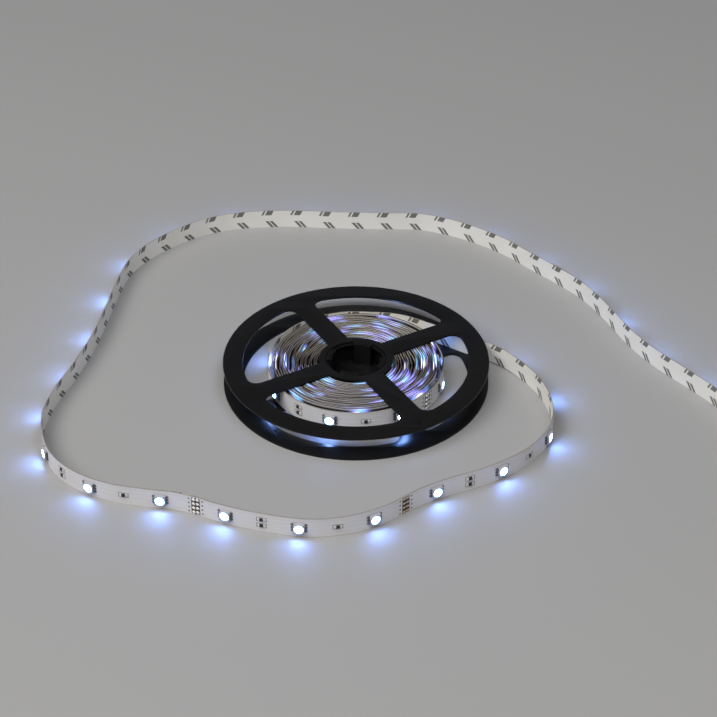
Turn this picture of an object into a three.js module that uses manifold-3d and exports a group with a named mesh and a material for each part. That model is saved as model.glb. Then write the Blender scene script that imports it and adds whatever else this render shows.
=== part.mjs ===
// A reel of LED strip light: two snap-together black plastic halves, and 5 m of 10 mm wide flexible
// circuit tape with a square LED every 33.3 mm. Most of the tape is wound in loose turns between
// the flanges, and the outer metre and a bit lies unrolled around the reel, standing on edge.
// Units are millimetres, +Z is up, and the origin is on the reel's axis in the plane it stands on.

import * as THREE from "three";
import { mergeVertices } from "three/addons/utils/BufferGeometryUtils.js";
import Module from "manifold-3d";

const wasm = await Module();
wasm.setup();

// Driving dimensions of the reel
const flangeRadius = 63.2;
const flangeThickness = 1.1;
const rimWidth = 9.5;
const spokeWidth = 10.6;
const spokeCount = 4;
const firstSpokeAngle = THREE.MathUtils.degToRad(30);
const windowOuterFillet = 4.5;
const windowInnerFillet = 1.2;
const hubRadius = 17;
const hubWall = 1.6;
const hubRingRadius = 17.6;
const hubRingBore = 14.4;
const lipBore = 13.2;
const lipThickness = 0.9;
const postThickness = 1.3;
const postSpan = THREE.MathUtils.degToRad(40);
const hookHeight = 0.7;
const dimpleRadius = 1.5;
const dimpleDepth = 0.4;
const fitGap = 0.3;

// Driving dimensions of the tape and what is soldered to it
const tapeWidth = 10;
const tapeThickness = 0.3;
const linerThickness = 0.15;
const channelPlay = 0.2;
const boardLength = 500;
const lastBoardLength = 200;
const boardCount = 12;
const lapLength = 2.2;
const lapGap = 0.1;
const cutLength = 100;
const ledsPerCut = 3;
const ledPitch = cutLength / ledsPerCut;
const ledSize = 5;
const ledHeight = 1.5;
const lensRadius = 2.1;
const lensHeight = 0.15;
const solderGap = 0.1;
const ledSeat = 5.6;
const resistorLength = 3;
const resistorWidth = 1.5;
const resistorHeight = 0.5;
const resistorSpacing = 3.2;
const solderRadius = 0.65;
const solderHeight = 0.4;
const solderPitch = 2.3;
const solderMargin = 0.2;
const solderRows = 4;

// Driving dimensions of the winding
const woundLength = 3950;
const turnAir = 0.72;
const tangentAngle = THREE.MathUtils.degToRad(82);
const settleLength = 21;

// The wound turns are wavy. Each wave has a height, how often it comes in a turn, and a phase. The
// number per turn is a little over a whole one, so each turn nearly nests in the one around it.
const waves = [
  { height: 0.55, perTurn: 1.02, phase: 2.6 },
  { height: 0.6, perTurn: 3.03, phase: 0.4 },
  { height: 0.3, perTurn: 5.05, phase: 1.9 },
  { height: 0.12, perTurn: 9.05, phase: 0.8 },
];

// Facets
const rollFacetsPerPitch = 6;
const freeFacetsPerPitch = 4;
const circleFacets = 72;
const linesPerRoutePoint = 12;
const anglesPerTurn = 90;

// Sizes that follow
const channel = tapeWidth + channelPlay;
const upperPlateBase = flangeThickness + channel;
const reelHeight = upperPlateBase + flangeThickness;
const sleeveHeight = (channel - fitGap) / 2;
const windowRadius = flangeRadius - rimWidth;
const turnPitch = tapeThickness + linerThickness + turnAir;
const innermostRadius = hubRadius + fitGap + linerThickness;
const rollRadius = Math.sqrt(innermostRadius ** 2 + (woundLength * turnPitch) / Math.PI);

// The route of the unrolled tape, from its cut end back to the reel, as it lies in gentle waves.
// Each point is the inner face of the circuit tape, seen from above.
const route = [
  [191.5, -86.5], [190.5, -77], [186.5, -56.5], [178.5, -37.5], [168.5, -21], [156, -4.5],
  [144, 11], [135.5, 25], [129, 39.5], [122, 56], [113.5, 71.5], [102.5, 85], [91, 97.5],
  [79, 111], [66, 122], [50.5, 131.5], [34.5, 137.5], [14, 138.5], [-12, 139.5], [-38.5, 141],
  [-61, 139], [-79, 133], [-95, 121.5], [-108.5, 107], [-116.5, 92], [-120.5, 74], [-124, 49.5],
  [-128, 24.5], [-134.5, -1], [-140.5, -19.5], [-144, -38.5], [-142.5, -53.5], [-136.5, -70],
  [-125.5, -82.5], [-109.5, -91.5], [-91, -96], [-75, -99], [-61, -105.5], [-44.5, -111.5],
  [-20, -116.5], [-2, -114], [13, -107], [29.5, -94.5], [40.5, -88.5], [59.5, -79.5],
  [76, -67.5], [87, -52.5], [91, -35.5], [87.5, -15.5], [79.5, -0.5], [68.5, 11.5], [52.5, 21],
  [36.5, 31.5], [21.5, 39.5],
].map(([x, y]) => new THREE.Vector3(x, y, 0));

// Booleans

function toSolid(geometry) {
  const bare = geometry.clone();
  bare.deleteAttribute("normal");
  bare.deleteAttribute("uv");
  const merged = mergeVertices(bare, 1e-4);
  return new wasm.Manifold(new wasm.Mesh({
    numProp: 3,
    vertProperties: merged.attributes.position.array,
    triVerts: new Uint32Array(merged.index.array),
  }));
}

function toGeometry(solid) {
  const { numProp, vertProperties, triVerts } = solid.getMesh();
  const geometry = new THREE.BufferGeometry();
  const positions = new THREE.InterleavedBuffer(vertProperties, numProp);
  geometry.setAttribute("position", new THREE.InterleavedBufferAttribute(positions, 3, 0));
  geometry.setIndex(new THREE.BufferAttribute(triVerts, 1));
  const plain = geometry.toNonIndexed();
  plain.computeVertexNormals();
  return plain;
}

const joined = (first, ...others) => others.reduce((sum, next) => sum.add(next), first);

// Reel

// Points of an arc, with facets as wide as the reel's rim has.
function arcPoints(centre, radius, from, to) {
  const facets = Math.ceil((Math.abs(to - from) * circleFacets * Math.sqrt(radius / flangeRadius)) / 2 / Math.PI);
  const arc = new THREE.EllipseCurve(centre.x, centre.y, radius, radius, from, to, to < from);
  return arc.getPoints(Math.max(facets, 2));
}

const axis = new THREE.Vector2();
const fullTurn = 2 * Math.PI;

function plateShape(boreRadius) {
  const plate = new THREE.Shape(arcPoints(axis, flangeRadius, 0, fullTurn).slice(1));
  for (let i = 0; i < spokeCount; i++) {
    plate.holes.push(new THREE.Path(windowOutline(firstSpokeAngle + (i * fullTurn) / spokeCount)));
  }
  if (boreRadius > 0) {
    plate.holes.push(new THREE.Path(arcPoints(axis, boreRadius, fullTurn, 0).slice(1)));
  }
  return plate;
}

// One window between two spokes: a fan with its four corners rounded. Each fillet's centre is a
// fillet's radius from the spoke's side and from the arc that it runs into.
function windowOutline(near) {
  const far = near + fullTurn / spokeCount;
  const quarter = Math.PI / 2;
  const corner = (radius, fillet) => {
    const across = spokeWidth / 2 + fillet;
    const along = Math.sqrt(radius ** 2 - across ** 2);
    return { along, across, lean: Math.atan2(across, along) };
  };
  const outer = corner(windowRadius - windowOuterFillet, windowOuterFillet);
  const inner = corner(hubRingRadius + windowInnerFillet, windowInnerFillet);
  const centre = ({ along, across }, angle, side) => new THREE.Vector2(along, across * side)
    .rotateAround(axis, angle);
  return [
    ...arcPoints(axis, windowRadius, near + outer.lean, far - outer.lean),
    ...arcPoints(centre(outer, far, -1), windowOuterFillet, far - outer.lean, far + quarter).slice(1),
    ...arcPoints(centre(inner, far, -1), windowInnerFillet, far + quarter, far + 2 * quarter - inner.lean),
    ...arcPoints(axis, hubRingRadius, far - inner.lean, near + inner.lean).slice(1),
    ...arcPoints(centre(inner, near, 1), windowInnerFillet, near + 2 * quarter + inner.lean,
      near + 3 * quarter).slice(1),
    ...arcPoints(centre(outer, near, 1), windowOuterFillet, near - quarter, near + outer.lean).slice(0, -1),
  ];
}

function plate(boreRadius, base) {
  const depth = flangeThickness;
  const geometry = new THREE.ExtrudeGeometry(plateShape(boreRadius), { depth, bevelEnabled: false });
  return toSolid(geometry.translate(0, 0, base));
}

// A ring about the reel's axis, as a revolved rectangle.
function ring(innerRadius, outerRadius, low, high, facets = circleFacets / 2) {
  const profile = [
    [innerRadius, low], [outerRadius, low], [outerRadius, high], [innerRadius, high],
    [innerRadius, low],
  ].map(([r, z]) => new THREE.Vector2(r, z));
  return toSolid(new THREE.LatheGeometry(profile, facets).rotateX(Math.PI / 2));
}

// A piece of a ring, centred on an angle.
function ringSector(innerRadius, outerRadius, low, high, angle, span) {
  const shape = new THREE.Shape();
  shape.absarc(0, 0, outerRadius, angle - span / 2, angle + span / 2, false);
  shape.absarc(0, 0, innerRadius, angle + span / 2, angle - span / 2, true);
  const depth = high - low;
  const geometry = new THREE.ExtrudeGeometry(shape, { depth, bevelEnabled: false, curveSegments: 6 });
  return toSolid(geometry.translate(0, 0, low));
}

// The upper half has half of the hub's sleeve, and under its bore a lip for the hooks to hold.
function upperHalf() {
  const sleeve = ring(hubRadius - hubWall, hubRadius, upperPlateBase - sleeveHeight,
    upperPlateBase + flangeThickness / 2);
  const lip = ring(lipBore, hubRadius - hubWall / 2, upperPlateBase - lipThickness, upperPlateBase);
  const dimpleAngle = firstSpokeAngle - Math.PI / 2;
  const dimple = new THREE.SphereGeometry(dimpleRadius, 10, 6)
    .scale(1, 1, dimpleDepth / dimpleRadius)
    .translate(
      Math.cos(dimpleAngle) * (flangeRadius - rimWidth / 3),
      Math.sin(dimpleAngle) * (flangeRadius - rimWidth / 3),
      reelHeight,
    );
  const body = joined(plate(hubRingBore, upperPlateBase), sleeve, lip);
  return toGeometry(body.subtract(toSolid(dimple)));
}

// The lower half has the other half of the sleeve, a closed floor and springy posts with hooks.
function lowerHalf() {
  const sleeve = ring(hubRadius - hubWall, hubRadius, flangeThickness / 2,
    flangeThickness + sleeveHeight);
  const postOuter = lipBore - fitGap;
  const hookBase = upperPlateBase + fitGap;
  const hookTop = hookBase + hookHeight;
  const posts = [];
  for (let i = 0; i < spokeCount; i++) {
    const angle = firstSpokeAngle + ((i + 0.5) * fullTurn) / spokeCount;
    const post = ringSector(postOuter - postThickness, postOuter, flangeThickness / 2, hookTop,
      angle, postSpan);
    const hook = ringSector(postOuter - postThickness / 2, hubRingBore - fitGap, hookBase, hookTop,
      angle, postSpan);
    posts.push(post, hook);
  }
  return toGeometry(joined(plate(0, 0), sleeve, ...posts));
}

// Lights along the tape
// Chainage is the length along the tape from its outer, cut end towards the hub.

// Where a length of circuit starts and ends, and where its LEDs are. Its seats for LEDs go on to the
// lap at its end, and its whole groups of them have LEDs.
function boardFrom(start, length) {
  const groups = Math.floor(length / cutLength);
  const count = Math.ceil((length - lapLength) / ledPitch);
  const seats = Array.from({ length: count }, (_, i) => start + (i + 0.5) * ledPitch);
  return { start, end: start + length, groups, seats, leds: seats.slice(0, groups * ledsPerCut) };
}

// The lengths lap over each other and are soldered together.
const boards = [boardFrom(0, lastBoardLength)];
while (boards.length < boardCount) {
  boards.push(boardFrom(boards.at(-1).end - lapLength, boardLength));
}
const ledChainages = boards.flatMap(({ leds }) => leds);

// The tape's path
// The unrolled part is a curve through the route, which ends on the roll's outside.

function circlePoint(radius, angle) {
  return new THREE.Vector2(Math.cos(angle), Math.sin(angle)).multiplyScalar(radius);
}

const settleAngle = settleLength / rollRadius;
const landing = [0, 0.5, 1]
  .map((part) => circlePoint(rollRadius, tangentAngle + part * settleAngle))
  .map(({ x, y }) => new THREE.Vector3(x, y, 0));
const freeCurve = new THREE.CatmullRomCurve3([...route, ...landing], false, "centripetal");
const freeLine = freeCurve.getPoints((route.length + landing.length) * linesPerRoutePoint)
  .map(({ x, y }) => new THREE.Vector2(x, y));

const distances = (line, start) => {
  const lengths = [start];
  for (let i = 1; i < line.length; i++) {
    lengths.push(lengths[i - 1] + line[i].distanceTo(line[i - 1]));
  }
  return lengths;
};
const freeLength = distances(freeLine, 0).at(-1);

// The turns of the roll, from the outermost one inwards. The waves fade at the roll's outside and
// at the hub, which hold the tape round.
const windingTurns = (rollRadius - innermostRadius) / turnPitch;

function turnRadius(turns) {
  const fade = Math.sin((Math.PI * turns) / windingTurns);
  const wave = waves.reduce((sum, { height, perTurn, phase }) => (
    sum + height * Math.sin(perTurn * turns * fullTurn + phase)
  ), 0);
  return rollRadius - turns * turnPitch + fade * wave;
}

function windInwards() {
  const firstAngle = tangentAngle + settleAngle;
  const count = Math.floor(windingTurns * anglesPerTurn);
  return Array.from({ length: count }, (_, i) => {
    const turns = i / anglesPerTurn;
    return circlePoint(turnRadius(turns), firstAngle + turns * fullTurn);
  });
}

const tapeLine = [...freeLine, ...windInwards().slice(1)];
const tapeChainage = distances(tapeLine, 0);
const tapeEnd = tapeChainage.at(-1);

function pointAt(length) {
  const inside = THREE.MathUtils.clamp(length, 0, tapeEnd);
  let i = 1;
  while (i < tapeLine.length - 1 && tapeChainage[i] < inside) i++;
  const share = (inside - tapeChainage[i - 1]) / (tapeChainage[i] - tapeChainage[i - 1]);
  return tapeLine[i - 1].clone().lerp(tapeLine[i], share);
}

// Between the flanges the tape stands on the lower one, and outside them it comes down to the floor.
function lift(x, y) {
  const clear = flangeRadius + fitGap;
  return flangeThickness * (1 - THREE.MathUtils.smoothstep(Math.hypot(x, y), clear, clear + 2 * tapeWidth));
}

// Chainages at which a length of tape bends. An LED sits in the middle of a straight facet, and so
// does what is soldered halfway between two LEDs.
function facetBetweenLeds(facetsPerPitch) {
  return (ledPitch - ledSeat) / (facetsPerPitch - 1);
}

function bendsBetween(start, end, facetsPerPitch) {
  const steps = Array.from({ length: facetsPerPitch / 2 }, (_, i) => (
    ledSeat / 2 + i * facetBetweenLeds(facetsPerPitch)
  ));
  const bends = boards.flatMap((board) => [
    board.start,
    ...board.seats.flatMap((seat) => steps.flatMap((step) => [seat - step, seat + step]))
      .filter((bend) => bend < board.end - lapLength - fitGap),
  ]);
  const inside = bends.filter((bend) => bend > start + lapLength / 2 && bend < end - lapLength / 2);
  return [start, ...inside.sort((one, other) => one - other), end];
}

// Corners of a band that runs along the tape, each moved square to the tape by the given offset.
// A positive offset is towards the side with the LEDs.
function offsetLine(bends, offsetAt) {
  const points = bends.map(pointAt);
  return points.map((point, i) => {
    const before = points[Math.max(i - 1, 0)];
    const after = points[Math.min(i + 1, points.length - 1)];
    const incoming = point.clone().sub(i === 0 ? points[1] : before).multiplyScalar(i === 0 ? -1 : 1);
    const outgoing = (i === points.length - 1 ? incoming.clone() : after.clone().sub(point));
    incoming.normalize();
    outgoing.normalize();
    const along = incoming.clone().add(outgoing).normalize();
    const mitre = 1 / Math.max(along.dot(outgoing), 0.5);
    const side = new THREE.Vector2(along.y, -along.x);
    return point.clone().addScaledVector(side, offsetAt(bends[i]) * mitre);
  });
}

function band(bends, innerAt, outerAt) {
  const outline = [...offsetLine(bends, outerAt), ...offsetLine(bends, innerAt).reverse()];
  const shape = new THREE.Shape(outline);
  const geometry = new THREE.ExtrudeGeometry(shape, { depth: tapeWidth, bevelEnabled: false });
  const position = geometry.attributes.position;
  for (let i = 0; i < position.count; i++) {
    position.setZ(i, position.getZ(i) + lift(position.getX(i), position.getY(i)));
  }
  return geometry;
}

// Something that sits in the middle of a facet of the tape's outer face: x along the tape, y up,
// and z away from the face.
function seatOnTape(middle, facet, standOff, height = tapeWidth / 2) {
  const before = pointAt(middle - facet / 2);
  const after = pointAt(middle + facet / 2);
  const centre = before.clone().lerp(after, 0.5);
  const along = after.sub(before).normalize();
  const side = new THREE.Vector2(along.y, -along.x);
  const seat = centre.addScaledVector(side, tapeThickness + standOff);
  const matrix = new THREE.Matrix4().makeBasis(
    new THREE.Vector3(along.x, along.y, 0),
    new THREE.Vector3(0, 0, 1),
    new THREE.Vector3(side.x, side.y, 0),
  );
  return matrix.setPosition(seat.x, seat.y, height + lift(seat.x, seat.y));
}

const sunk = tapeThickness / 4;

function resistor(length, height) {
  const block = new THREE.BoxGeometry(resistorLength, resistorWidth, resistorHeight + sunk);
  block.translate(0, 0, (resistorHeight - sunk) / 2);
  const seat = seatOnTape(length, facetBetweenLeds(freeFacetsPerPitch), 0, height);
  return toSolid(block.applyMatrix4(seat));
}

// Solder on the pads at one end of a length of circuit, seated on the facet there.
function solderRow(middle, facet, offset, standOff) {
  return Array.from({ length: solderRows }, (_, row) => {
    const height = tapeWidth / 2 + (row - (solderRows - 1) / 2) * solderPitch;
    const blob = new THREE.CylinderGeometry(solderRadius / 2, solderRadius, solderHeight + sunk, 6);
    blob.rotateX(Math.PI / 2).translate(offset, 0, (solderHeight - sunk) / 2);
    return toSolid(blob.applyMatrix4(seatOnTape(middle, facet, standOff, height)));
  });
}

// The facet at either end of a board is half of one between two LEDs.
function solderAtStart(board, facetsPerPitch) {
  const facet = facetBetweenLeds(facetsPerPitch) / 2;
  return solderRow(board.start + facet / 2, facet, lapLength + solderMargin + solderRadius - facet / 2, 0);
}

function solderAtEnd(board, standOff) {
  const facet = facetBetweenLeds(freeFacetsPerPitch) / 2;
  return solderRow(board.end - facet / 2, facet, (facet - lapLength) / 2, standOff);
}

// The resistors of a length of circuit: two after the first LED of each group, one after the second.
function resistors(board) {
  const parts = [];
  for (let group = 0; group < board.groups; group++) {
    const start = board.start + group * cutLength;
    parts.push(resistor(start + 2 * ledPitch, tapeWidth / 2));
    parts.push(resistor(start + ledPitch, (tapeWidth - resistorSpacing) / 2));
    parts.push(resistor(start + ledPitch, (tapeWidth + resistorSpacing) / 2));
  }
  return parts;
}

// A length of circuit tape. Its reel-side end lies on top of the next length and is soldered to it.
function tapeLength(board, lapsAtStart) {
  const lapStep = tapeThickness + lapGap;
  const facet = facetBetweenLeds(freeFacetsPerPitch);
  const settled = board.end - facet / 2;
  const shift = (length) => lapStep * THREE.MathUtils.smoothstep(length, settled - facet, settled);
  const bends = bendsBetween(board.start, board.end, freeFacetsPerPitch);
  const tape = toSolid(band(bends, shift, (length) => tapeThickness + shift(length)));
  const solder = solderAtEnd(board, lapStep);
  if (lapsAtStart) solder.push(...solderAtStart(board, freeFacetsPerPitch));
  return toGeometry(joined(tape, ...resistors(board), ...solder));
}

const rollStart = boards[3].start;

// Room outside a wound LED before it would meet the turn around it. The outermost turn has open
// air around it, up to where the tape leaves the roll.
function airOutside(length) {
  const seat = pointAt(length);
  const angle = Math.atan2(seat.y, seat.x) - tangentAngle - settleAngle;
  const share = THREE.MathUtils.euclideanModulo(angle / fullTurn, 1);
  const turns = Math.round((rollRadius - seat.length()) / turnPitch - share) + share;
  if (turns < 1 - (2 * settleAngle) / fullTurn) return ledHeight + solderGap;
  const outerTurn = turnRadius(Math.max(turns - 1, 0));
  const facetDip = facetBetweenLeds(freeFacetsPerPitch) ** 2 / 8 / seat.length();
  return outerTurn - turnRadius(turns) - tapeThickness - linerThickness - 2 * facetDip;
}

// The wound turns are one solid: tape, liner and the LEDs that have room to stand up.

function roll() {
  const bends = bendsBetween(rollStart, tapeEnd, rollFacetsPerPitch);
  const turns = toSolid(band(bends, () => -linerThickness, () => tapeThickness));
  const wound = ledChainages.filter((led) => led > rollStart && led < tapeEnd - ledSize)
    .filter((led) => airOutside(led) > ledHeight / 3);
  const lights = wound.map((led) => {
    const height = Math.min(ledHeight + solderGap, airOutside(led));
    const block = new THREE.BoxGeometry(ledSize, ledSize, height + sunk);
    block.translate(0, 0, (height - sunk) / 2);
    return toSolid(block.applyMatrix4(seatOnTape(led, ledSeat, 0)));
  });
  return toGeometry(joined(turns, ...lights, ...solderAtStart(boards[3], rollFacetsPerPitch)));
}

// The paper that covers the tape's glue, in one length from the cut end to the roll.
function liner() {
  const bends = bendsBetween(0, rollStart - fitGap, freeFacetsPerPitch);
  return band(bends, () => -linerThickness, () => 0);
}

// A square LED with one corner cut and a round lens.
function led() {
  const half = ledSize / 2;
  const notch = ledSize / 6;
  const outline = new THREE.Shape([
    new THREE.Vector2(-half, -half),
    new THREE.Vector2(half, -half),
    new THREE.Vector2(half, half),
    new THREE.Vector2(notch - half, half),
    new THREE.Vector2(-half, half - notch),
  ]);
  const depth = ledHeight - lensHeight;
  const body = new THREE.ExtrudeGeometry(outline, { depth, bevelEnabled: false });
  const lens = new THREE.CylinderGeometry(lensRadius, lensRadius, 2 * lensHeight, 10);
  lens.rotateX(Math.PI / 2).translate(0, 0, depth);
  return toGeometry(toSolid(body).add(toSolid(lens)));
}

// Materials

function plastic() {
  return new THREE.MeshStandardMaterial({ color: 0x141414, roughness: 0.45, metalness: 0 });
}

function solderMask() {
  return new THREE.MeshStandardMaterial({ color: 0xe9e9e4, roughness: 0.5, metalness: 0 });
}

function paper() {
  return new THREE.MeshStandardMaterial({ color: 0xe2ded2, roughness: 0.8, metalness: 0 });
}

function ledHousing() {
  return new THREE.MeshStandardMaterial({ color: 0xf4f6f8, roughness: 0.35, metalness: 0 });
}

// Assembly

const reel = new THREE.Group();

function addPiece(name, geometry, material) {
  const mesh = new THREE.Mesh(geometry, material);
  mesh.name = name;
  reel.add(mesh);
  return mesh;
}

addPiece("lower_reel_half", lowerHalf(), plastic());
addPiece("upper_reel_half", upperHalf(), plastic());
addPiece("strip_roll", roll(), solderMask());
addPiece("release_liner", liner(), paper());
boards.slice(0, 3).reverse().forEach((board, i) => {
  addPiece(`strip_length_${i + 1}`, tapeLength(board, board.start > 0), solderMask());
});

const ledGeometry = led();
ledChainages.filter((length) => length < rollStart).reverse().forEach((length, i) => {
  const mesh = addPiece(`led_${i + 1}`, ledGeometry, ledHousing());
  mesh.applyMatrix4(seatOnTape(length, ledSeat, solderGap));
});

export default reel;
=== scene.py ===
import bisect
import bmesh
import bpy
import math
from mathutils import Matrix, Vector
from mathutils.noise import noise


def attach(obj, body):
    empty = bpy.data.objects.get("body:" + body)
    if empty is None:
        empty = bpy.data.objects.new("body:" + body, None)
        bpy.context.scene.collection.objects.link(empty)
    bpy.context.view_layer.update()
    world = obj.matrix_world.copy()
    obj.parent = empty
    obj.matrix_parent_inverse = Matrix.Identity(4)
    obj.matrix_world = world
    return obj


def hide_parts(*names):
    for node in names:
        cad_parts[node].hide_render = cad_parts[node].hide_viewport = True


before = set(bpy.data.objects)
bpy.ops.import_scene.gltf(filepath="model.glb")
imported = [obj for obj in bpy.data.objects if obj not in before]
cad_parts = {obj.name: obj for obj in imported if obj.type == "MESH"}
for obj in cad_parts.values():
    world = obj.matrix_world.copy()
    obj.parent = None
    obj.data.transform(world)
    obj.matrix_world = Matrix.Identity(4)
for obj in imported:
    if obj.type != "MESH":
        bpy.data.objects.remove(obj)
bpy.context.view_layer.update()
scene = bpy.context.scene
scene.view_settings.view_transform = "Standard"


# Camera, floor and light
# The object lies on a plain pale floor under two large soft lamps, and its own LEDs are lit. The
# camera looks along +Y and down, from where the reel's rims put it in the photograph.

camera_pitch = 34.97
studio_strength = 0.13
studio_colour = (0.86, 0.9, 1, 1)
lamp_colour = (1, 0.98, 0.94)

camera = bpy.data.objects.new("camera", bpy.data.cameras.new("camera"))
camera.data.sensor_width = 36
camera.data.lens = 100.4
camera.data.clip_start = 0.05
camera.location = (0.00117, -0.7785, 0.5568)
camera.rotation_euler = (math.radians(90 - camera_pitch), 0, 0)
scene.collection.objects.link(camera)
scene.camera = camera

scene.world = bpy.data.worlds.new("studio")
scene.world.use_nodes = True
background = scene.world.node_tree.nodes["Background"]
background.inputs["Color"].default_value = studio_colour
background.inputs["Strength"].default_value = studio_strength

for name, place, width, depth, energy in (
    ("left_softbox", (-1.22, -0.76, 1.84), 2, 1.45, 44),
    ("front_softbox", (0.45, -1.08, 2.25), 1.8, 0.65, 26),
):
    lamp = bpy.data.objects.new(name, bpy.data.lights.new(name, "AREA"))
    lamp.data.shape = "RECTANGLE"
    lamp.data.size = width
    lamp.data.size_y = depth
    lamp.data.energy = energy
    lamp.data.color = lamp_colour
    lamp.location = place
    lamp.rotation_euler = (-lamp.location).to_track_quat("-Z", "Y").to_euler()
    scene.collection.objects.link(lamp)


class Value:
    """A node's socket. Arithmetic on it adds the Math nodes that work it out."""

    def __init__(self, tree, socket):
        self.tree = tree
        self.socket = socket

    def math(self, operation, *operands):
        sockets = dict(enumerate(operands))
        return self.tree.add("ShaderNodeMath", {"operation": operation}, sockets)[0]

    def __add__(self, other):
        return self.math("ADD", self, other)

    def __radd__(self, other):
        return self.math("ADD", other, self)

    def __sub__(self, other):
        return self.math("SUBTRACT", self, other)

    def __rsub__(self, other):
        return self.math("SUBTRACT", other, self)

    def __mul__(self, other):
        return self.math("MULTIPLY", self, other)

    def __rmul__(self, other):
        return self.math("MULTIPLY", other, self)

    def __mod__(self, other):
        return self.math("FLOORED_MODULO", self, other)

    def __abs__(self):
        return self.math("ABSOLUTE", self)

    def __or__(self, other):
        return self.math("MAXIMUM", self, other)

    def __and__(self, other):
        return self.math("MINIMUM", self, other)

    def within(self, limit, soft=0.02):
        """1 where the value is below the limit, with a soft edge."""
        return self.tree.add(
            "ShaderNodeMapRange",
            {"interpolation_type": "SMOOTHSTEP"},
            {0: self, 1: limit - soft, 2: limit + soft, 3: 1, 4: 0},
        )[0]


class Tree:
    """A node tree. Every node is added by the one method, which returns its outputs as values."""

    def __init__(self, tree):
        self.tree = tree

    def add(self, kind, settings=None, sockets=None):
        node = self.tree.nodes.new(kind)
        for name, setting in (settings or {}).items():
            setattr(node, name, setting)
        for name, given in (sockets or {}).items():
            if isinstance(given, Value):
                self.tree.links.new(given.socket, node.inputs[name])
            else:
                node.inputs[name].default_value = given
        return [Value(self, output) for output in node.outputs]


class Finish(Tree):
    """A material: one principled shader, whose constants are set on its own sockets."""

    def __init__(self, name, **constants):
        self.material = bpy.data.materials.new(name)
        self.material.use_nodes = True
        super().__init__(self.material.node_tree)
        self.shader = self.tree.nodes["Principled BSDF"]
        for socket, constant in constants.items():
            self.shader.inputs[socket.replace("_", " ")].default_value = constant

    def feed(self, socket, value):
        self.tree.links.new(value.socket, self.shader.inputs[socket])

    def position(self):
        """The place on the object, in metres, as a vector."""
        return self.add("ShaderNodeTexCoord")[3]

    def noise(self, where, scale, detail=2, distortion=0):
        return self.add(
            "ShaderNodeTexNoise",
            {},
            {"Vector": where, "Scale": scale, "Detail": detail, "Distortion": distortion},
        )[0]

    def mix(self, factor, first, second):
        return self.add(
            "ShaderNodeMix", {"data_type": "RGBA"}, {0: factor, 6: first, 7: second}
        )[2]

    def bump(self, height, distance):
        """A surface normal from a height, with the relief's depth in metres."""
        return self.add("ShaderNodeBump", {}, {"Height": height, "Distance": distance})[0]


floor_finish = Finish("floor", Base_Color=(0.34, 0.34, 0.345, 1), Roughness=0.62)
bpy.ops.mesh.primitive_plane_add(size=8)
floor = bpy.context.object
floor.name = "floor"
floor.data.materials.append(floor_finish.material)


# Reel
# Two moulded halves of satin black plastic: a flange each, with four windows between four spokes,
# and half of the hub's sleeve. The lower half's springy posts hook over a lip in the upper one.

MM = 0.001
flange_radius = 63.2
flange_thickness = 1.1
flange_edge = 0.25
channel_height = 10.2
upper_base = flange_thickness + channel_height
reel_height = upper_base + flange_thickness

spoke_count = 4
spoke_angle = 2 * math.pi / spoke_count
spoke_half_width = 5.3
first_spoke = math.radians(30)
window_outer_radius = flange_radius - 9.5
window_inner_radius = 17.6
window_fillet = 4.5
window_inner_fillet = 1.2

sleeve_outer_radius = 17
sleeve_inner_radius = 15.4
sleeve_seam = (6.05, 6.35)
hub_foot = 0.5
hub_top = 11.8
bore_radius = 14.4
lip_radii = (16.2, 13.2)
lip_base = 10.4
post_radii = (11.6, 12.9)
bead_radii = (12.2, 14.1)
bead_base = 11.6
post_top = 12.3
post_span = math.radians(40)

dimple_radius = 1.5
dimple_depth = 0.4
dimple_steps = 5
dimple_from_axis = 60


def polar(radius, angle):
    return Vector((radius * math.cos(angle), radius * math.sin(angle)))


def arc(centre, radius, start, end, steps):
    """Points of an arc from one angle to another, both ends included."""
    angles = [start + (end - start) * i / steps for i in range(steps + 1)]
    return [(centre[0] + radius * math.cos(a), centre[1] + radius * math.sin(a)) for a in angles]


def circle(radius, steps=72):
    return arc((0, 0), radius, 0, 2 * math.pi, steps)[:-1]


def sector(inner, outer, middle, span):
    """The outline of a piece of a ring."""
    start, end = middle - span / 2, middle + span / 2
    return arc((0, 0), outer, start, end, 14) + arc((0, 0), inner, end, start, 14)


def window(near):
    """The opening between two spokes, with its corners rounded."""
    far = near + spoke_angle

    def corner(radius, fillet, spoke, side):
        across = spoke_half_width + fillet
        along = math.sqrt(radius**2 - across**2)
        middle = Vector((along, across * side))
        middle.rotate(Matrix.Rotation(spoke, 2))
        return middle, math.atan2(across, along)

    outer, inner = window_fillet, window_inner_fillet
    outer_far, outer_lean = corner(window_outer_radius - outer, outer, far, -1)
    outer_near, _ = corner(window_outer_radius - outer, outer, near, 1)
    inner_far, inner_lean = corner(window_inner_radius + inner, inner, far, -1)
    inner_near, _ = corner(window_inner_radius + inner, inner, near, 1)
    quarter = math.pi / 2
    return [
        *arc((0, 0), window_outer_radius, near + outer_lean, far - outer_lean, 60),
        *arc(outer_far, outer, far - outer_lean, far + quarter, 10)[1:],
        *arc(inner_far, inner, far + quarter, far + 2 * quarter - inner_lean, 6),
        *arc((0, 0), window_inner_radius, far - inner_lean, near + inner_lean, 20)[1:-1],
        *arc(inner_near, inner, near + 2 * quarter + inner_lean, near + 3 * quarter, 6),
        *arc(outer_near, outer, near - quarter, near + outer_lean, 10)[:-1],
    ]


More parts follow.
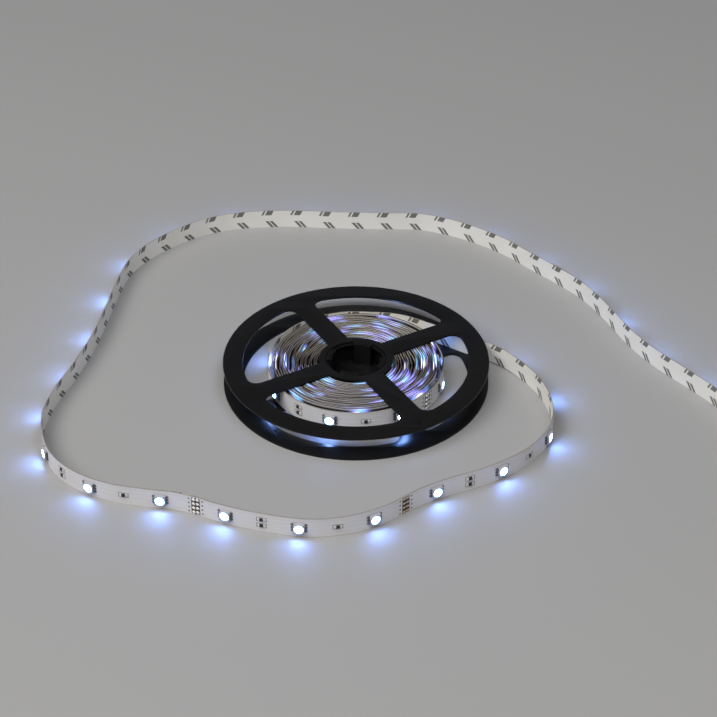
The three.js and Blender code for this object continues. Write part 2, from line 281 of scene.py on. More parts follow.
def slab(outlines, low, high, edge=0.15):
    """A flat solid between two heights, in millimetres, with its outlines' edges rounded. Any
    outline inside another is a hole."""
    curve = bpy.data.curves.new("outline", "CURVE")
    curve.dimensions = "2D"
    curve.fill_mode = "BOTH"
    curve.extrude = ((high - low) / 2 - edge) * MM
    curve.bevel_depth = edge * MM
    curve.bevel_resolution = 1
    curve.offset = -edge * MM
    for outline in outlines:
        spline = curve.splines.new("POLY")
        spline.points.add(len(outline) - 1)
        spline.use_cyclic_u = True
        for point, (x, y) in zip(spline.points, outline):
            point.co = (x * MM, y * MM, 0, 1)
    shape = bpy.data.objects.new("outline", curve)
    mesh = bpy.data.meshes.new_from_object(shape)
    bpy.data.objects.remove(shape)
    mesh.transform(Matrix.Translation((0, 0, (low + high) / 2 * MM)))
    return mesh


def turned(profile, steps, centre=(0, 0)):
    """A closed solid turned about an upright axis, from (radius, height) points in millimetres.
    Its UV map holds how far out each corner is, as a share of the largest radius."""
    corners, faces = [], []
    for radius, height in profile:
        ring = arc(centre, radius, 0, 2 * math.pi, steps)[:-1]
        corners += [(x * MM, y * MM, height * MM) for x, y in ring]
    for i in range(len(profile) - 1):
        for j in range(steps):
            k = (j + 1) % steps
            faces.append((i * steps + j, i * steps + k, (i + 1) * steps + k, (i + 1) * steps + j))
    mesh = bpy.data.meshes.new("turned")
    mesh.from_pydata(corners, [], faces)
    layer = mesh.uv_layers.new(name="outwards")
    widest = max(radius for radius, _ in profile)
    for loop in mesh.loops:
        layer.data[loop.index].uv = (profile[loop.vertex_index // steps][0] / widest, 0)
    return mesh


def joined(meshes):
    """One mesh of several, with doubles merged and smooth shading up to 35 degrees."""
    whole = bmesh.new()
    for mesh in meshes:
        whole.from_mesh(mesh)
    bmesh.ops.remove_doubles(whole, verts=whole.verts, dist=1e-6)
    bmesh.ops.recalc_face_normals(whole, faces=whole.faces)
    mesh = bpy.data.meshes.new("joined")
    whole.to_mesh(mesh)
    whole.free()
    mesh.shade_smooth()
    mesh.set_sharp_from_angle(angle=math.radians(35))
    return mesh


def add_piece(name, mesh, finishes, slot, *nodes):
    """Puts a finished mesh in the scene, riding on the one body, in the place of its CAD nodes."""
    piece = bpy.data.objects.new(name, mesh)
    scene.collection.objects.link(piece)
    while len(mesh.materials) < len(finishes):
        mesh.materials.append(None)
    for i, finish in enumerate(finishes):
        mesh.materials[i] = finish.material
    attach(piece, "root")
    if nodes:
        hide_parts(*nodes)


def moulded_plastic():
    finish = Finish("moulded_plastic", IOR=1.38, Specular_IOR_Level=0.35)
    where = finish.position()
    grain = finish.noise(where, 2600, 3)
    patches = finish.noise(where, 55, 4, 0.6)
    scuffs = finish.noise(where, 240, 5, 2.5)
    finish.feed("Base Color", finish.mix(
        patches, (0.004, 0.004, 0.0045, 1), (0.009, 0.009, 0.0095, 1)
    ))
    finish.feed("Roughness", 0.2 + 0.14 * patches + 0.12 * scuffs)
    finish.feed("Normal", finish.bump(grain + 0.5 * scuffs, 0.00002))
    return finish


plastic = moulded_plastic()
windows = [window(first_spoke + i * spoke_angle) for i in range(spoke_count)]
posts = [first_spoke + (i + 0.5) * spoke_angle for i in range(spoke_count)]
rim = circle(flange_radius, 240)
sleeve = [circle(sleeve_outer_radius), circle(sleeve_inner_radius)]

lower_half = joined([
    slab([rim, *windows], 0, flange_thickness, flange_edge),
    slab(sleeve, hub_foot, sleeve_seam[0]),
    *[slab([sector(*post_radii, middle, post_span)], hub_foot, post_top) for middle in posts],
    *[slab([sector(*bead_radii, middle, post_span)], bead_base, post_top) for middle in posts],
])
add_piece("lower_half", lower_half, [plastic], "reel_plastic", "lower_reel_half")

dimple_at = polar(dimple_from_axis, first_spoke - spoke_angle)
dimple_rim = arc(dimple_at, dimple_radius, 0, 2 * math.pi, 24)[:-1]
dimple_base = upper_base + flange_edge
dish = [(0, dimple_base), (dimple_radius, dimple_base)]
for i in range(dimple_steps, -1, -1):
    out = i / dimple_steps
    dish.append((dimple_radius * out, reel_height - flange_edge - dimple_depth * (1 - out**2)))
upper_half = joined([
    slab([rim, *windows, circle(bore_radius), dimple_rim], upper_base, reel_height, flange_edge),
    turned(dish, 24, dimple_at),
    slab(sleeve, sleeve_seam[1], hub_top),
    slab([circle(radius) for radius in lip_radii], lip_base, upper_base),
])
add_piece("upper_half", upper_half, [plastic], "reel_plastic", "upper_reel_half")


# The tape's path
# Most of the tape is wound on the hub, and the rest stands on edge round the reel in gentle waves.
# The path runs from the cut end inwards, and a length along it is called chainage.

ROUTE = [
    (191.5, -86.5), (190.5, -77), (186.5, -56.5), (178.5, -37.5), (168.5, -21), (156, -4.5),
    (144, 11), (135.5, 25), (129, 39.5), (122, 56), (113.5, 71.5), (102.5, 85), (91, 97.5),
    (79, 111), (66, 122), (50.5, 131.5), (34.5, 137.5), (14, 138.5), (-12, 139.5), (-38.5, 141),
    (-61, 139), (-79, 133), (-95, 121.5), (-108.5, 107), (-116.5, 92), (-120.5, 74), (-124, 49.5),
    (-128, 24.5), (-134.5, -1), (-140.5, -19.5), (-144, -38.5), (-142.5, -53.5), (-136.5, -70),
    (-125.5, -82.5), (-109.5, -91.5), (-91, -96), (-75, -99), (-61, -105.5), (-44.5, -111.5),
    (-20, -116.5), (-2, -114), (13, -107), (29.5, -94.5), (40.5, -88.5), (59.5, -79.5),
    (76, -67.5), (87, -52.5), (91, -35.5), (87.5, -15.5), (79.5, -0.5), (68.5, 11.5), (52.5, 21),
    (36.5, 31.5), (21.5, 39.5),
]
route_steps = 14
tape_thickness = 0.3
liner_thickness = 0.15
innermost_radius = 17.45
turn_pitch = 1.17
wound_length = 3950
roll_radius = math.sqrt(innermost_radius**2 + wound_length * turn_pitch / math.pi)
turn_count = (roll_radius - innermost_radius) / turn_pitch
turn_steps = 120
tangent_angle = math.radians(82)
settle_angle = 21 / roll_radius
least_gap = 0.03
outer_gap = 1.9
ramp_start = flange_radius + 0.3
ramp_length = 20
WAVES = [(0.55, 1.02, 2.6), (0.6, 3.03, 0.4), (0.3, 5.05, 1.9), (0.12, 9.05, 0.8)]
CRUMPLES = [(1.05, 1.9, 1.37, 0), (0.5, 5, 0.9, 7)]


def curve_through(points, steps):
    """A centripetal curve through points, which keeps close to them where they are uneven."""
    points = [2 * points[0] - points[1], *points, 2 * points[-1] - points[-2]]
    line = [points[1]]
    for before, start, end, after in zip(points, points[1:], points[2:], points[3:]):
        pairs = ((before, start), (start, end), (end, after))
        first, gap, last = [math.sqrt((b - a).length) for a, b in pairs]
        leave = gap * (
            (start - before) / first - (end - before) / (first + gap) + (end - start) / gap
        )
        arrive = gap * (
            (end - start) / gap - (after - start) / (gap + last) + (after - end) / last
        )
        for i in range(1, steps + 1):
            t = i / steps
            line.append(
                start + leave * t + (3 * (end - start) - 2 * leave - arrive) * t**2
                + (2 * (start - end) + leave + arrive) * t**3
            )
    return line


def smooth_step(value, low, high):
    share = min(max((value - low) / (high - low), 0), 1)
    return share * share * (3 - 2 * share)


def turn_radius(turns):
    """The radius of the wound tape, some number of turns in. The turns are loose, wavy and a
    little crumpled, and the outermost one stands off the others."""
    angle = turns * 2 * math.pi
    fade = math.sin(math.pi * turns / turn_count)
    wave = sum(height * math.sin(per_turn * angle + phase) for height, per_turn, phase in WAVES)
    slack = sum(
        height * noise(Vector((*polar(spread, angle), start + per_turn * turns)))
        for height, spread, per_turn, start in CRUMPLES
    )
    apart = outer_gap * smooth_step(turns, 0.8, 1.15) * (1 - smooth_step(turns, 1.4, 12))
    return roll_radius - turns * turn_pitch - apart + fade * wave + math.sqrt(fade) * slack


landing = [polar(roll_radius, tangent_angle + share * settle_angle) for share in (0, 0.5, 1)]
path = curve_through([Vector(point) for point in ROUTE] + landing, route_steps)
free_points = len(path)
turn_radii = []
for i in range(1, int(turn_count * turn_steps)):
    radius = turn_radius(i / turn_steps)
    if i > turn_steps:
        around = turn_radii[-turn_steps] - tape_thickness - liner_thickness
        radius = min(radius, around - least_gap)
    turn_radii.append(radius)
    path.append(polar(radius, tangent_angle + settle_angle + i / turn_steps * 2 * math.pi))
path_chainage = [0]
for one, other in zip(path, path[1:]):
    path_chainage.append(path_chainage[-1] + (other - one).length)
tape_end = path_chainage[-1]


def lift(point):
    """The tape stands on the lower flange inside the reel, and on the floor outside it."""
    return flange_thickness * (1 - smooth_step(point.length, ramp_start, ramp_start + ramp_length))


def place_at(chainage):
    """The point of the path at a chainage, and the direction square to it on the LEDs' side."""
    inside = min(max(chainage, 0.01), tape_end - 0.01)
    i = bisect.bisect_left(path_chainage, inside)
    share = (inside - path_chainage[i - 1]) / (path_chainage[i] - path_chainage[i - 1])
    point = path[i - 1].lerp(path[i], share)
    along = path[min(i + 1, len(path) - 1)] - path[max(i - 2, 0)]
    along.normalize()
    return point, Vector((along.y, -along.x))


# Circuit tape off the roll
# Three lengths of 10 mm flexible circuit, lapped and soldered end over end. They are plastic film
# with copper tracks under a white mask, and every 100 mm there are bare pads at a cut line. The
# short one was cut from a longer one, so it starts at that one's first cut line.

tape_width = 10
board_length = 500
board_count = 12
free_boards = 3
cut_length = 100
led_pitch = cut_length / 3
lap = 2.2
lap_step = 0.4
climb_length = 9.24
pad_pitch = 2.3
pads_reach = 2.05
lead_pitch = 1.6
tape_middle = tape_width / 2
band_step = 1.2
boards = [(0, 2 * cut_length)]
while len(boards) < board_count:
    start = boards[-1][1] - lap
    boards.append((start, start + board_length))
roll_start = boards[free_boards][0]


def band(chainages, inner, outer, phase_of, rise=lambda chainage: 0):
    """A band that stands on edge along the path, as corner points, faces and each corner's place
    on the tape. Its three finishes are the outer face, the inner face and the edges."""
    corners, faces, finishes, places = [], [], [], []
    section = ((outer, 0), (outer, tape_width), (inner, tape_width), (inner, 0))
    for chainage in chainages:
        point, side = place_at(chainage)
        base = lift(point) + rise(chainage)
        for offset, height in section:
            x, y = point + side * offset(chainage)
            corners.append((x * MM, y * MM, (base + height) * MM))
    for i, (start, end) in enumerate(zip(chainages, chainages[1:])):
        here, there = 4 * i, 4 * i + 4
        first, second = phase_of(start, start, end), phase_of(end, start, end)
        for j, finish in enumerate((0, 2, 1, 2)):
            k = (j + 1) % 4
            up, next_up = section[j][1], section[k][1]
            faces.append((here + j, here + k, there + k, there + j))
            finishes.append(finish)
            places += [(first, up), (first, next_up), (second, next_up), (second, up)]
    last = 4 * (len(chainages) - 1)
    faces += [(3, 2, 1, 0), (last, last + 1, last + 2, last + 3)]
    finishes += [2, 2]
    places += [(phase_of(chainages[0], *chainages[:2]), 0)] * 4
    places += [(phase_of(chainages[-1], *chainages[-2:]), 0)] * 4
    return corners, faces, finishes, places


def band_mesh(corners, faces, finishes, places):
    mesh = bpy.data.meshes.new("band")
    mesh.from_pydata(corners, [], faces)
    layer = mesh.uv_layers.new(name="along_and_up")
    for loop, place in zip(layer.data, places):
        loop.uv = place
    for i in range(max(finishes) + 1):
        mesh.materials.append(None)
    mesh.polygons.foreach_set("material_index", finishes)
    mesh.validate()
    mesh.shade_smooth()
    mesh.set_sharp_from_angle(angle=math.radians(50))
    return mesh


def steps_between(start, end, step):
    count = max(int((end - start) / step), 1)
    return [start + (end - start) * i / count for i in range(count + 1)]


def tape_places(finish):
    """Millimetres along the length of circuit, and up from the tape's lower edge."""
    place = finish.add("ShaderNodeUVMap", {"uv_map": "along_and_up"})[0]
    return finish.add("ShaderNodeSeparateXYZ", {}, {0: place})[:2]


def white_mask():
    finish = Finish("white_mask", Specular_IOR_Level=0.45)
    along, up = tape_places(finish)
    where = finish.position()
    fibres = finish.noise(where, 900, 3)
    clouds = finish.noise(where, 60, 3)
    ink = finish.mix(clouds, (0.66, 0.65, 0.68, 1), (0.77, 0.76, 0.79, 1))

    from_middle = abs(up - tape_middle)
    inside = from_middle.within(4.35)
    between_tracks = abs(((up - tape_middle - pad_pitch / 2) % pad_pitch) - pad_pitch / 2)
    tracks = (1 - between_tracks.within(0.28, 0.1)) * inside
    ink = finish.mix(tracks * 0.22, ink, (0.6, 0.58, 0.5, 1))
    margin = 1 - from_middle.within(4.72, 0.08)
    ink = finish.mix(margin * 0.6, ink, (0.38, 0.33, 0.27, 1))

    from_led = abs((along % led_pitch) - led_pitch / 2)
    # Painted shade: a dark frame on the mask round each LED stands in for the shade beside its
    # housing.
    outline = abs((from_led - 2.85) | (from_middle - 2.75)).within(0.13, 0.05)
    ink = finish.mix(outline * 0.6, ink, (0.2, 0.2, 0.23, 1))
    from_lead_row = abs(((up - tape_middle - lead_pitch / 2) % lead_pitch) - lead_pitch / 2)
    led_pads = (abs(from_led - 3.15) | (from_lead_row - 0.1)).within(0.52, 0.06)
    ink = finish.mix(led_pads * from_middle.within(2.3) * 0.85, ink, (0.07, 0.06, 0.06, 1))

    # Painted shade: dark frames round each resistor's place stand in for the shade at its edges.
    in_group = along % cut_length
    one = abs(in_group - 2 * led_pitch) | (from_middle + 1.2)
    two = abs(in_group - led_pitch) | (abs(from_middle - 1.6) + 1.2)
    resistor_shade_frames = abs((one & two) - 2.2).within(0.15, 0.05)
    ink = finish.mix(resistor_shade_frames * 0.8, ink, (0.1, 0.09, 0.09, 1))

    from_cut = abs(((along + cut_length / 2) % cut_length) - cut_length / 2)
    past_pads = (from_cut - pads_reach) & (along - lap - pads_reach)
    pad_rows = abs(((up - tape_middle) % pad_pitch) - pad_pitch / 2)
    surround = inside * past_pads.within(0, 0.05)
    pads = pad_rows.within(0.46, 0.06) * inside * past_pads.within(-0.25, 0.05)
    line = from_cut.within(0.16, 0.04) * inside
    vias = ((abs(past_pads - 1.25) | pad_rows).within(0.36, 0.08)) * inside
    ink = finish.mix(surround, ink, (0.045, 0.028, 0.022, 1))
    copper = finish.mix(fibres, (0.66, 0.43, 0.29, 1), (0.9, 0.68, 0.52, 1))
    ink = finish.mix(pads, ink, copper)
    ink = finish.mix(line | vias, ink, (0.03, 0.03, 0.03, 1))
    finish.feed("Base Color", ink)
    finish.feed("Metallic", pads * 0.5)
    finish.feed("Roughness", 0.42 + 0.12 * fibres - 0.12 * pads)
    finish.feed("Normal", finish.bump(tracks + 0.15 * fibres - 0.6 * surround, 0.00003))
    return finish


def film_edge():
    finish = Finish("film_edge")
    layers = finish.noise(finish.position(), 1500, 2)
    finish.feed("Base Color", finish.mix(layers, (0.2, 0.18, 0.16, 1), (0.33, 0.3, 0.27, 1)))
    finish.feed("Roughness", 0.42 + 0.2 * layers)
    return finish


mask = white_mask()
edge_film = film_edge()
for number, (start, end) in enumerate(reversed(boards[:free_boards]), 1):
    def climb(chainage, settled=end - climb_length / 2):
        return lap_step * smooth_step(chainage, settled - climb_length, settled)

    strip = band(
        steps_between(start, end, band_step),
        climb,
        lambda chainage, climb=climb: tape_thickness + climb(chainage),
        lambda chainage, *_, first=start or -cut_length: chainage - first,
    )
    add_piece(
        f"circuit_{number}", band_mesh(*strip), [mask, edge_film, edge_film], "strip_mask",
        f"strip_length_{number}",
    )


# Release liner
# Waxed cream paper over the glue on the tape's inner face, in one length from the cut end to the
# roll. It has a plain repeated pattern of short grey dashes in pairs along both of its edges.

print_pitch = 15.4
liner_end = roll_start - 0.3
sheet_gap = 0.01


def liner_paper():
    finish = Finish("liner_paper")
    along, up = tape_places(finish)
    where = finish.position()
    fibres = finish.noise(where, 1400, 4)
    clouds = finish.noise(where, 45, 3)
    sheet = finish.mix(clouds, (0.72, 0.7, 0.62, 1), (0.83, 0.81, 0.74, 1))
    sheet = finish.mix(fibres * 0.25, sheet, (0.9, 0.88, 0.84, 1))
    half_pitch = print_pitch / 2
    low = abs(((along - 0.8 * up) % print_pitch) - half_pitch)
    low_pair = (low.within(2, 0.08) - low.within(0.3, 0.08)) * up.within(3.7, 0.08)
    high = ((along + 0.5 * up + half_pitch) % print_pitch) - half_pitch
    high_pair = abs(high - 2.4).within(0.55, 0.08) | abs(high + 0.7).within(1.7, 0.08)
    high_pair = high_pair * (tape_width - up).within(2.7, 0.08)
    print_mask = (low_pair | high_pair) * (0.82 + 0.15 * fibres)
    finish.feed("Base Color", finish.mix(print_mask, sheet, (0.085, 0.083, 0.072, 1)))
    finish.feed("Roughness", 0.52 + 0.2 * fibres)
    finish.feed("Normal", finish.bump(fibres, 0.00003))
    return finish


paper = liner_paper()
strip = band(
    steps_between(0, liner_end, band_step),
    lambda chainage: -liner_thickness,
    lambda chainage: -sheet_gap,
    lambda chainage, *_: chainage,
)
add_piece("liner", band_mesh(*strip), [paper, paper, edge_film], "liner_paper", "release_liner")


# Roll
# About twenty loose turns of the same tape between the flanges, seen edge on: white mask outside,
# film edges painted near black as shade between the turns, and the paper inside. A painted glow
# stands in for the light of lit LEDs soaking into them.

roll_step = 1.6
sway = 0.07
sway_length = 23


def wound_finish(name, dark, light, glow):
    """Tape in the roll, with painted shade down in the gaps and a painted glow round the LEDs, some
    more than others.
    """
    finish = Finish(name, Emission_Strength=glow)
    along, up = tape_places(finish)
    where = finish.position()
    fibres = finish.noise(where, 1100, 3)
    patches = finish.noise(where, 60, 2)
    # Painted shade: below the top 0.85 mm the faces go nearly black, standing in for the shade down
    # in the gaps between turns.
    above_gap_shade = (tape_width - up).within(0.85, 0.4)
    surface = finish.mix(fibres * 0.6 + patches * 0.4, dark, light)
    finish.feed("Base Color", finish.mix(above_gap_shade, (0.015, 0.012, 0.01, 1), surface))
    finish.feed("Roughness", 0.45 + 0.2 * fibres)
    # Painted light: an emission glow round each LED's place, white at its core and cyan or violet
    # in its halo, shown only in random patches, stands in for LED light soaking into the turns.
    from_led = abs((along % led_pitch) - led_pitch / 2)
    from_middle = up - tape_middle
    square = from_led * from_led + from_middle * from_middle
    distance = square.math("SQRT", square)
    bright = 1 - patches.within(0.54, 0.07)
    halo = distance.within(6, 3.5) * bright
    hot = distance.within(3.4, 0.5) * bright
    violet_glow = finish.noise(where, 120, 1).within(0.54, 0.06)
    glow_tint = finish.mix(violet_glow, (0.16, 0.42, 0.8, 1), (0.27, 0.26, 1, 1))
    lit = finish.mix(halo, (0, 0, 0, 1), glow_tint)
    finish.feed("Emission Color", finish.mix(hot, lit, (1, 1, 1, 1)))
    return finish


def board_of(chainage):
    return max(board for board in boards if board[0] <= chainage)


def phase_in_board(chainage, start, end):
    """Millimetres from the start of the length of circuit that a face lies on."""
    return chainage - board_of((start + end) / 2)[0]


def waver(chainage):
    """The turns don't stand quite level in the reel's channel."""
    return sway + sway * noise(Vector((chainage / sway_length, 0.5, 2.5)))


wound_mask = wound_finish("wound_mask", (0.42, 0.4, 0.42, 1), (0.62, 0.6, 0.63, 1), 1.9)
# Painted shade: the wound film edges are near black, far darker than the free tape's film edges, as
# shade between the turns.
shaded_wound_edge = wound_finish("shaded_wound_edge", (0.012, 0.009, 0.007, 1), (0.07, 0.052, 0.038, 1), 0.35)
wound_paper = wound_finish("wound_paper", (0.46, 0.43, 0.38, 1), (0.7, 0.67, 0.61, 1), 1.6)
roll_steps = steps_between(roll_start, tape_end - 0.1, roll_step)
corners, faces, finishes, places = band(
    roll_steps, lambda chainage: sheet_gap, lambda chainage: tape_thickness, phase_in_board, waver
)
outermost = bisect.bisect_left(roll_steps, path_chainage[free_points + turn_steps])
for i in range(outermost):
    finishes[4 * i] = 3
add_piece(
    "roll", band_mesh(corners, faces, finishes, places),
    [wound_mask, wound_mask, shaded_wound_edge, mask], "strip_mask", "strip_roll",
)
strip = band(
    roll_steps, lambda chainage: -liner_thickness, lambda chainage: 0, phase_in_board, waver
)
add_piece("roll_liner", band_mesh(*strip), [wound_paper, wound_paper, shaded_wound_edge], "liner_paper")


# LEDs and what is soldered to the tape
# Square white LEDs with a round lit lens and six leads, black resistors with metal ends, and shiny
# solder where two lengths meet, painted near white as a highlight. Geometry Nodes sets a part at
# each seat along the tape's path.

led_size = 5
led_height = 1.45
led_base_size = 4.6
led_base_height = 0.3
led_corner = 0.8
lens_radius = 2.1
lens_seat = 0.9
lead_offset = 2.7
led_room = 1.5
clear_of_turn = 0.15
led_turn = 0.02
led_seed = 3
resistor_turn = 0.04
resistor_seed = 5
resistor_offset = 1.6
drop_radius = 0.78
drop_height = 0.4
drop_past_lap = 0.8
drop_before_end = 0.85


def seating_tree():
    """A seat is a vertex: metres along the path, metres up, and how much of the part's height."""
    group = bpy.data.node_groups.new("set_along_tape", "GeometryNodeTree")
    for name, kind in (
        ("Seats", "Geometry"), ("Path", "Object"), ("Part", "Object"), ("Stand Off", "Float"),
        ("Largest Turn", "Float"), ("Seed", "Int"), ("Finish", "Material"),
    ):
        group.interface.new_socket(name, in_out="INPUT", socket_type=f"NodeSocket{kind}")
    group.interface.new_socket("Geometry", in_out="OUTPUT", socket_type="NodeSocketGeometry")
    tree = Tree(group)
    seats, path_object, part, stand_off, largest_turn, seed, finish = tree.add("NodeGroupInput")[:7]
    seat = tree.add("GeometryNodeInputPosition")[0]
    chainage, height, share = tree.add("ShaderNodeSeparateXYZ", {}, {0: seat})
    line = tree.add("GeometryNodeObjectInfo", {}, {"Object": path_object})[4]
    sample = tree.add(
        "GeometryNodeSampleCurve", {"mode": "LENGTH"}, {"Curves": line, "Length": chainage}
    )
    place, along = sample[-3:-1]
    side = tree.add(
        "ShaderNodeVectorMath", {"operation": "CROSS_PRODUCT"}, {0: along, 1: (0, 0, 1)}
    )[0]
    square = tree.add(
        "FunctionNodeAxesToRotation",
        {"primary_axis": "Z", "secondary_axis": "X"},
        {"Primary Axis": side, "Secondary Axis": along},
    )[0]
    turn = tree.add(
        "FunctionNodeRandomValue", {"data_type": "FLOAT"},
        {2: -1.0, 3: 1.0, "Seed": seed},
    )[1]
    askew = tree.add(
        "FunctionNodeAxisAngleToRotation", {}, {"Axis": (0, 0, 1), "Angle": turn * largest_turn}
    )[0]
    rotation = tree.add(
        "FunctionNodeRotateRotation", {"rotation_space": "LOCAL"}, {0: square, 1: askew}
    )[0]
    size = tree.add("ShaderNodeCombineXYZ", {}, {0: 1, 1: 1, 2: share})[0]
    parts = tree.add("GeometryNodeObjectInfo", {}, {"Object": part})[4]
    instances = tree.add(
        "GeometryNodeInstanceOnPoints", {},
        {"Points": seats, "Instance": parts, "Rotation": rotation, "Scale": size},
    )[0]
    out = tree.add(
        "ShaderNodeVectorMath", {"operation": "SCALE"}, {0: side, "Scale": stand_off}
    )[0]
    up = tree.add("ShaderNodeCombineXYZ", {}, {2: height})[0]
    moved = tree.add("ShaderNodeVectorMath", {"operation": "ADD"}, {0: place, 1: out})[0]
    moved = tree.add("ShaderNodeVectorMath", {"operation": "ADD"}, {0: moved, 1: up})[0]
    placed = tree.add(
        "GeometryNodeSetPosition", {}, {"Geometry": instances, "Position": moved}
    )[0]
    real = tree.add("GeometryNodeRealizeInstances", {}, {"Geometry": placed})[0]
    dressed = tree.add("GeometryNodeSetMaterial", {}, {"Geometry": real, "Material": finish})[0]
    tree.add("NodeGroupOutput", {}, {0: dressed})
    return group


def object_of(name, data):
    made = bpy.data.objects.new(name, data)
    scene.collection.objects.link(made)
    return made


seating = seating_tree()
path_curve = bpy.data.curves.new("tape_path", "CURVE")
path_curve.dimensions = "3D"
path_spline = path_curve.splines.new("POLY")
path_spline.points.add(len(path) - 1)
for spline_point, (x, y) in zip(path_spline.points, path):
    spline_point.co = (x * MM, y * MM, 0, 1)
path_object = object_of("tape_path", path_curve)


def set_along(seats, part, stand_off, finish, largest_turn=0.0, seed=1):
    """The parts at the seats, as one plain mesh. A seat is its chainage and its height up from the
    tape's lower edge, in millimetres, and how much of the part's own height it has room for."""
    points = []
    for chainage, height, share in seats:
        point, _ = place_at(chainage)
        points.append((chainage * MM, (height + lift(point)) * MM, share))
    mesh = bpy.data.meshes.new("seats")
    mesh.from_pydata(points, [], [])
    holder = object_of("seats", mesh)
    part_object = object_of("part", part)
    modifier = holder.modifiers.new("set_along", "NODES")
    modifier.node_group = seating
    given = {
        "Path": path_object, "Part": part_object, "Stand Off": stand_off * MM,
        "Largest Turn": largest_turn, "Seed": seed, "Finish": finish.material,
    }
    for socket in seating.interface.items_tree:
        if socket.name in given:
            modifier[socket.identifier] = given[socket.name]
    depsgraph = bpy.context.evaluated_depsgraph_get()
    made = bpy.data.meshes.new_from_object(holder.evaluated_get(depsgraph))
    for helper in (holder, part_object):
        bpy.data.objects.remove(helper)
    return made


def led_plastic():
    finish = Finish("led_plastic")
    grain = finish.noise(finish.position(), 1800, 3)
    finish.feed("Base Color", finish.mix(grain, (0.34, 0.33, 0.4, 1), (0.46, 0.45, 0.52, 1)))
    finish.feed("Roughness", 0.3 + 0.2 * grain)
    return finish


def lit_lens(name, strength):
    """The resin window of a lit LED: blue-white, and greener towards its rim."""
    finish = Finish(name, Base_Color=(0.8, 0.9, 0.9, 1), Emission_Strength=strength)
    outwards = finish.add("ShaderNodeUVMap", {"uv_map": "outwards"})[0]
    share = finish.add("ShaderNodeSeparateXYZ", {}, {0: outwards})[0]
    middle = share.within(0.86, 0.08)
    finish.feed("Emission Color", finish.mix(middle, (0.006, 0.035, 0.04, 1), (0.2, 0.37, 1, 1)))
    finish.feed("Roughness", 0.2 + 0.2 * share)
    return finish


def bare_metal(name, dark, light, roughness, metallic):
    finish = Finish(name, Metallic=metallic)
    wear = finish.noise(finish.position(), 1600, 4, 0.5)
    finish.feed("Base Color", finish.mix(wear, dark, light))
    finish.feed("Roughness", roughness + 0.2 * wear)
    return finish


def ceramic():
    finish = Finish("resistor_ceramic")
    grain = finish.noise(finish.position(), 2200, 3)
    finish.feed("Base Color", finish.mix(grain, (0.012, 0.012, 0.013, 1), (0.03, 0.03, 0.03, 1)))
    finish.feed("Roughness", 0.35 + 0.25 * grain)
    return finish


def box(x, y, width, height, low, high):
    half_width, half_height = width / 2, height / 2
    outline = [
        (x - half_width, y - half_height), (x + half_width, y - half_height),
        (x + half_width, y + half_height), (x - half_width, y + half_height),
    ]
    return slab([outline], low, high, 0.05)


leds = [
    start + (i + 0.5) * led_pitch
    for start, end in boards for i in range(round((end - start) / led_pitch))
    if start + (i + 0.5) * led_pitch < tape_end - led_size
]
free_leds = [led for led in leds if led < roll_start]
third_turn = path_chainage[free_points + 2 * turn_steps]
shown_leds = [led for led in leds if led < third_turn]
half = led_size / 2
notch = half - led_corner
led_outline = [(-half, -half), (half, -half), (half, half), (-notch, half), (-half, notch)]
led_body = joined([
    slab([led_outline, circle(lens_radius + 0.05, 20)], 0, led_height, 0.06),
    box(0, 0, led_base_size, led_base_size, 0, led_base_height),
])
lens_profile = [
    (0, lens_seat), (lens_radius, lens_seat), (lens_radius, led_height - 0.13),
    (1.6, led_height - 0.05), (0.8, led_height - 0.01), (0, led_height),
]
led_lens = joined([turned(lens_profile, 20)])
led_lead = joined([
    box(lead_offset * side, row * lead_pitch, 0.8, 0.85, 0, 0.6)
    for side in (-1, 1) for row in (-1, 0, 1)
])
housing = led_plastic()
free_light = lit_lens("lit_lens", 110)
roll_light = lit_lens("lit_lens_on_roll", 22)
lead_metal = bare_metal("lead_metal", (0.1, 0.1, 0.11, 1), (0.3, 0.3, 0.32, 1), 0.2, 0.9)
tinned = bare_metal("tinned_metal", (0.6, 0.6, 0.6, 1), (0.8, 0.8, 0.79, 1), 0.3, 0.3)
# Painted highlight: the solder's near-white colour stands in for its bright sheen.
solder = bare_metal("solder", (0.88, 0.88, 0.88, 1), (0.97, 0.97, 0.97, 1), 0.12, 0.15)


def share_of_height(chainage):
    """How much of its height an LED has room for, under the turn around it."""
    turns = (bisect.bisect_left(path_chainage, chainage) - free_points) / turn_steps
    if turns <= 1:
        return 1
    room = turn_radius(turns - 1) - turn_radius(turns) - tape_thickness - liner_thickness
    return min((room - clear_of_turn) / led_room, 1)


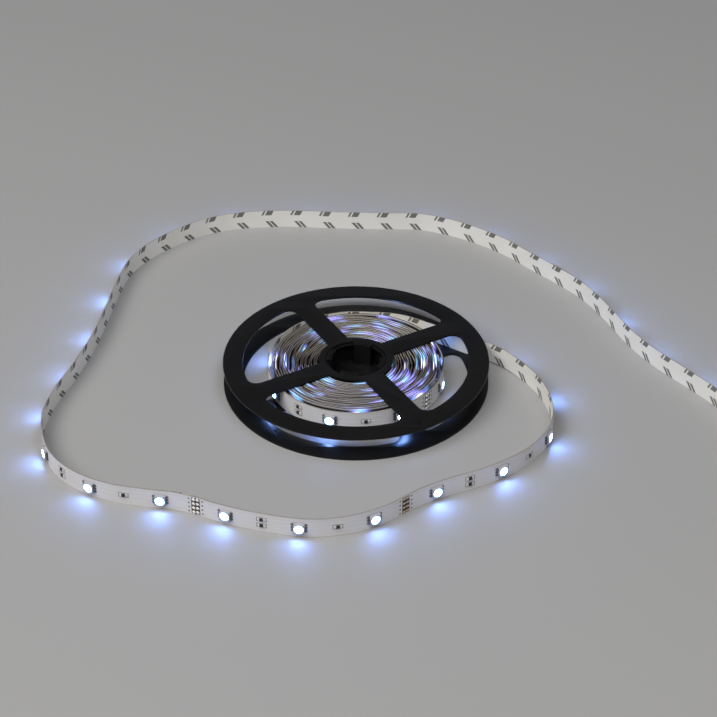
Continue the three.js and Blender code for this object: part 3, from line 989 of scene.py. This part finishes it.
shown_seats = [(led, tape_middle, share_of_height(led)) for led in shown_leds]
led_names = [f"led_{i + 1}" for i in range(len(free_leds))]
on_tape = tape_thickness + 0.02
bodies = set_along(shown_seats, led_body, on_tape, housing, led_turn, led_seed)
add_piece("led_housings", bodies, [housing], "led_housing", *led_names)
for name, seats, light in (
    ("led_lenses", shown_seats[:len(free_leds)], free_light),
    ("roll_led_lenses", shown_seats[len(free_leds):], roll_light),
):
    lenses = set_along(seats, led_lens, on_tape, light, led_turn, led_seed)
    add_piece(name, lenses, [light], "led_housing")
leads = set_along(shown_seats, led_lead, tape_thickness, lead_metal, led_turn, led_seed)
add_piece("led_leads", leads, [lead_metal], "led_housing")

resistor_rows = {0: (-resistor_offset, resistor_offset), 1: (0,), 2: ()}
resistor_seats = []
for led in shown_leds:
    in_group = round((led - board_of(led)[0]) / led_pitch - 0.5) % 3
    for row in resistor_rows[in_group]:
        resistor_seats.append((led + led_pitch / 2, tape_middle + row, 1))
chip_ceramic = ceramic()
chip = box(0, 0, 1.7, 1.5, 0, 0.5)
ends = joined([box(1.2 * side, 0, 0.7, 1.4, 0, 0.45) for side in (-1, 1)])
for name, part, finish in (
    ("resistor_bodies", chip, chip_ceramic),
    ("resistor_ends", ends, tinned),
):
    parts = set_along(
        resistor_seats, part, tape_thickness, finish, resistor_turn, resistor_seed
    )
    add_piece(name, parts, [finish], "strip_mask")

drop_profile = [
    (0, -0.05), (drop_radius, -0.05), (0.72, 0.16), (0.5, 0.31), (0.24, 0.38), (0, drop_height),
]
drop = joined([turned(drop_profile, 14)])
rows = [tape_middle + (row - 1.5) * pad_pitch for row in range(4)]
beside = [
    (start + lap + drop_past_lap, row, 1)
    for start, _ in boards[1:free_boards + 1] for row in rows
]
on_lap = [(end - drop_before_end, row, 1) for _, end in boards[:free_boards] for row in rows]
for name, seats, height in (
    ("solder_beside", beside, tape_thickness),
    ("solder_on_lap", on_lap, tape_thickness + lap_step),
):
    add_piece(name, set_along(seats, drop, height, solder), [solder], "strip_mask")
bpy.data.objects.remove(path_object)
